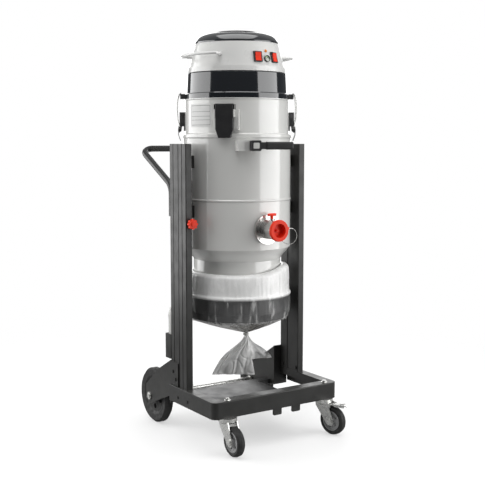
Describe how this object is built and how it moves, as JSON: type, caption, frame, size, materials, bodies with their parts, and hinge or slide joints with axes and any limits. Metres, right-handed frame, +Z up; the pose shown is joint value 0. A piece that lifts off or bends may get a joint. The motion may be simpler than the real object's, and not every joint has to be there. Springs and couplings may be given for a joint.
{
  "type": "dust collector",
  "caption": "Industrial dust collector: cylindrical filter drum with motor head on a wheeled trolley, side inlet, continuous-bag discharge below.",
  "frame": {"origin": "on the floor, under the middle of the machine's bounding box", "axes": "+Z up, the inlet and the casters face -Y, +X to the right seen from the front"},
  "size_m": [0.596, 0.7474, 1.612],
  "materials": {
    "black_gloss": "glossy black",
    "black_plastic": "moulded black plastic",
    "black_tube": "black painted tube",
    "drum_paint": "glossy light grey paint",
    "film": "translucent white polythene film",
    "filter_cloth": "pleated polyester felt",
    "foam": "foam seal",
    "grey_plastic": "grey moulded plastic",
    "label": "blank plate",
    "motor_metal": "cast aluminium",
    "orange_lens": "orange lens",
    "post_paint": "semi-gloss dark grey powder coat",
    "red_plastic": "glossy red plastic",
    "rubber": "black rubber",
    "shell_paint": "satin light grey paint",
    "stainless": "polished stainless steel",
    "white_tube": "white painted tube",
    "zinc": "bright zinc plate"
  },
  "bodies": {
    "root": {"bag_cassette": "film", "bag_film": "film", "bag_tail": "film", "bag_tie": "label", "bag_tray": "post_paint", "cable_gland": "black_plastic", "caster_tops": "zinc", "drum_body": "drum_paint", "drum_mounts": "post_paint", "filter_cartridge": "filter_cloth", "filter_housing": "drum_paint", "flap_frame": "drum_paint", "front_rail": "post_paint", "gauge_body": "black_plastic", "head_cap": "black_plastic", "head_gasket": "foam", "head_handles": "white_tube", "head_ring": "black_gloss", "head_shell": "shell_paint", "inlet": "stainless", "label_plate": "label", "latch_bases": "black_plastic", "left_post": "post_paint", "left_rail": "post_paint", "left_wheel_bracket": "post_paint", "motor_plate": "post_paint", "motors": "motor_metal", "pilot_lamp": "orange_lens", "push_handle": "black_tube", "rear_axle": "zinc", "rear_pocket": "post_paint", "right_post": "post_paint", "right_rail": "post_paint", "right_wheel_bracket": "post_paint", "shaker_bracket": "drum_paint", "spare_bags": "film", "support_ring": "post_paint", "switch_bezels": "black_plastic"},
    "left_rear_wheel": {"left_rear_wheel": "rubber"},
    "left_caster": {"left_caster_fork": "zinc"},
    "left_caster_wheel": {"left_caster_tyre": "rubber", "left_caster_hub": "grey_plastic"},
    "right_rear_wheel": {"right_rear_wheel": "rubber"},
    "right_caster": {"right_caster_fork": "zinc"},
    "right_caster_wheel": {"right_caster_tyre": "rubber", "right_caster_hub": "grey_plastic"},
    "brake_pedal": {"brake_pedal": "zinc"},
    "clamp_knob": {"clamp_knob": "red_plastic"},
    "inlet_knob": {"inlet_knob": "red_plastic"},
    "inlet_plug": {"inlet_plug": "red_plastic", "tether": "zinc"},
    "filter_flap": {"filter_flap": "black_plastic"},
    "shaker_lever": {"shaker_lever": "black_plastic"},
    "latch_lever_1": {"latch_lever_1": "stainless"},
    "latch_bail_1": {"latch_bail_1": "stainless"},
    "latch_lever_2": {"latch_lever_2": "stainless"},
    "latch_bail_2": {"latch_bail_2": "stainless"},
    "rocker_1": {"rocker_1": "red_plastic"},
    "rocker_2": {"rocker_2": "red_plastic"},
    "gauge_needle": {"gauge_needle": "label"}
  },
  "joints": [
    {"name": "left_rear_wheel_spin", "type": "hinge", "parent": "root", "child": "left_rear_wheel", "pos_m": [-0.255, 0.25822, 0.1155], "axis": [1, 0, 0], "continuous": true},
    {"name": "left_caster_swivel", "type": "hinge", "parent": "root", "child": "left_caster", "pos_m": [-0.224, -0.25178, 0.127], "axis": [0, 0, 1], "continuous": true},
    {"name": "left_caster_spin", "type": "hinge", "parent": "left_caster", "child": "left_caster_wheel", "pos_m": [-0.224, -0.29878, 0.0575], "axis": [1, 0, 0], "continuous": true},
    {"name": "right_rear_wheel_spin", "type": "hinge", "parent": "root", "child": "right_rear_wheel", "pos_m": [0.255, 0.25822, 0.1155], "axis": [1, 0, 0], "continuous": true},
    {"name": "right_caster_swivel", "type": "hinge", "parent": "root", "child": "right_caster", "pos_m": [0.245, -0.24468, 0.127], "axis": [0, 0, 1], "continuous": true},
    {"name": "right_caster_spin", "type": "hinge", "parent": "right_caster", "child": "right_caster_wheel", "pos_m": [0.25637, -0.29028, 0.0575], "axis": [0.9703, 0.2419, 0], "continuous": true},
    {"name": "brake_pedal_press", "type": "hinge", "parent": "right_caster", "child": "brake_pedal", "pos_m": [0.25504, -0.28495, 0.121], "axis": [0.9703, 0.2419, 0], "range_deg": [0, 7]},
    {"name": "clamp_knob_turn", "type": "hinge", "parent": "root", "child": "clamp_knob", "pos_m": [-0.2637, -0.06378, 0.862], "axis": [0, -1, 0], "continuous": true},
    {"name": "inlet_knob_turn", "type": "hinge", "parent": "root", "child": "inlet_knob", "pos_m": [0, -0.21978, 0.8885], "axis": [0, 0, 1], "continuous": true},
    {"name": "inlet_plug_slide", "type": "slide", "parent": "root", "child": "inlet_plug", "axis": [0, -1, 0], "range_m": [0, 0.06]},
    {"name": "filter_flap_open", "type": "hinge", "parent": "root", "child": "filter_flap", "pos_m": [-0.16193, -0.13371, 1.312], "axis": [-0.7071, 0.7071, 0], "range_deg": [0, 75]},
    {"name": "shaker_swing", "type": "hinge", "parent": "root", "child": "shaker_lever", "pos_m": [-0.07455, -0.21564, 1.163], "axis": [-0.2924, -0.9563, 0], "range_deg": [-20, 20]},
    {"name": "latch_1_open", "type": "hinge", "parent": "root", "child": "latch_lever_1", "pos_m": [0.19572, -0.08478, 1.248], "axis": [-0.5, -0.866, 0], "range_deg": [0, 100]},
    {"name": "latch_1_bail", "type": "hinge", "parent": "latch_lever_1", "child": "latch_bail_1", "pos_m": [0.19832, -0.08628, 1.234], "axis": [-0.5, -0.866, 0], "range_deg": [-130, 0]},
    {"name": "latch_2_open", "type": "hinge", "parent": "root", "child": "latch_lever_2", "pos_m": [-0.19572, 0.14122, 1.248], "axis": [0.5, 0.866, 0], "range_deg": [0, 100]},
    {"name": "latch_2_bail", "type": "hinge", "parent": "latch_lever_2", "child": "latch_bail_2", "pos_m": [-0.19832, 0.14272, 1.234], "axis": [0.5, 0.866, 0], "range_deg": [-130, 0]},
    {"name": "rocker_1_press", "type": "hinge", "parent": "root", "child": "rocker_1", "pos_m": [-0.02271, -0.15409, 1.503], "axis": [-0.9923, 0.1236, 0], "range_deg": [0, 14]},
    {"name": "rocker_2_press", "type": "hinge", "parent": "root", "child": "rocker_2", "pos_m": [0.05708, -0.14641, 1.503], "axis": [-0.9505, -0.3107, 0], "range_deg": [0, 14]},
    {"name": "gauge_needle_turn", "type": "hinge", "parent": "root", "child": "gauge_needle", "pos_m": [0.01815, -0.16029, 1.49703], "axis": [0.0926, -0.9618, 0.2576], "range_deg": [-60, 120]}
  ],
  "couplings": [
    {"joint": "latch_1_bail", "follows": "latch_1_open", "ratio": -1.3},
    {"joint": "latch_2_bail", "follows": "latch_2_open", "ratio": -1.3}
  ]
}
